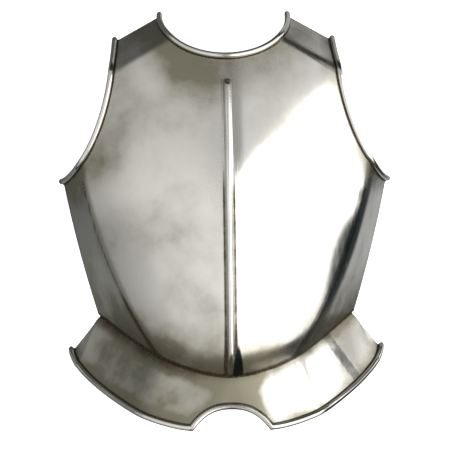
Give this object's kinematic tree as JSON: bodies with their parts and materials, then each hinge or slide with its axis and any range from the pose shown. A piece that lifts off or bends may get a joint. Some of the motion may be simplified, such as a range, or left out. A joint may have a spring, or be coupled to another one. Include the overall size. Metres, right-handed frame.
{
  "type": "steel breastplate",
  "caption": "Polished steel breastplate, front half of a cuirass, with a raised middle rib, turned neck and arm edges and a flared skirt with two points and an arch.",
  "frame": {"origin": "middle of the bounding box, on the surface that the rear rim lies on", "axes": "+Z out of the chest, +Y from the waist to the neck, +X to the right as seen from the front"},
  "size_m": [0.4148, 0.4982, 0.1743],
  "materials": {
    "polished_steel": "polished, with fine scratches and a brown patina in the recesses",
    "dark_wire": "dull, dark, as cut"
  },
  "bodies": {
    "root": {"chest_plate": "polished_steel", "skirt_plate": "polished_steel", "neck_wire": "dark_wire", "arm_wire_left": "dark_wire", "arm_wire_right": "dark_wire", "skirt_wire": "dark_wire"}
  },
  "joints": []
}
